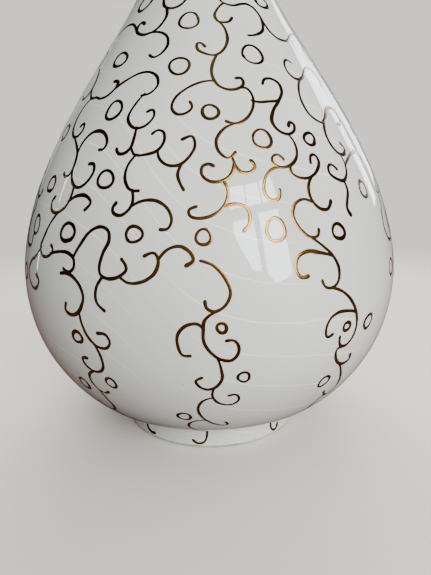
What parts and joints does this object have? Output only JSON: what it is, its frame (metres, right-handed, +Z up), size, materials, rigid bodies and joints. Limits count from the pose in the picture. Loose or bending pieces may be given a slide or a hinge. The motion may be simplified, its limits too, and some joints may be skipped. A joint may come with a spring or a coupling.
{
  "type": "porcelain vase",
  "caption": "Pear-shaped glazed porcelain vase with a low foot ring, slim neck and flared lip, decorated all round with hand-laid gold scroll trails and small gold rings.",
  "frame": {"origin": "on the turning axis, at the bottom of the foot ring where the vase stands", "axes": "+Z up along the turning axis; -Y is the side with the central gold trail, facing the viewer"},
  "size_m": [0.1512, 0.151, 0.25],
  "materials": {
    "porcelain_glaze": "clear glossy glaze over cool white porcelain, with a few fine pale craze lines",
    "bare_foot": "unglazed bisque on the standing rim only",
    "gilding": "fired gold, thin and slightly raised, polished"
  },
  "bodies": {
    "root": {"foot_ring": "porcelain_glaze", "gilt_chain_a": "gilding", "gilt_chain_b": "gilding", "gilt_chain_c": "gilding", "gilt_crown_a": "gilding", "gilt_crown_b": "gilding", "gilt_crown_c": "gilding", "gilt_drape_a": "gilding", "gilt_drape_b": "gilding", "gilt_drape_c": "gilding", "gilt_garland_a": "gilding", "gilt_garland_b": "gilding", "gilt_garland_c": "gilding", "gilt_ring_a0": "gilding", "gilt_ring_a1": "gilding", "gilt_ring_a2": "gilding", "gilt_ring_a3": "gilding", "gilt_ring_a4": "gilding", "gilt_ring_a5": "gilding", "gilt_ring_a6": "gilding", "gilt_ring_a7": "gilding", "gilt_ring_a8": "gilding", "gilt_ring_a9": "gilding", "gilt_ring_b0": "gilding", "gilt_ring_b1": "gilding", "gilt_ring_b2": "gilding", "gilt_ring_b3": "gilding", "gilt_ring_b4": "gilding", "gilt_ring_b5": "gilding", "gilt_ring_b6": "gilding", "gilt_ring_b7": "gilding", "gilt_ring_b8": "gilding", "gilt_ring_b9": "gilding", "gilt_ring_c0": "gilding", "gilt_ring_c1": "gilding", "gilt_ring_c2": "gilding", "gilt_ring_c3": "gilding", "gilt_ring_c4": "gilding", "gilt_ring_c5": "gilding", "gilt_ring_c6": "gilding", "gilt_ring_c7": "gilding", "gilt_ring_c8": "gilding", "gilt_ring_c9": "gilding", "gilt_sash_a": "gilding", "gilt_sash_b": "gilding", "gilt_sash_c": "gilding", "gilt_strand_a": "gilding", "gilt_strand_b": "gilding", "gilt_strand_c": "gilding", "gilt_swag_a": "gilding", "gilt_swag_b": "gilding", "gilt_swag_c": "gilding", "gilt_veil_a": "gilding", "gilt_veil_b": "gilding", "gilt_veil_c": "gilding", "lip": "porcelain_glaze", "lower_body": "porcelain_glaze", "neck": "porcelain_glaze", "upper_body": "porcelain_glaze"}
  },
  "joints": []
}
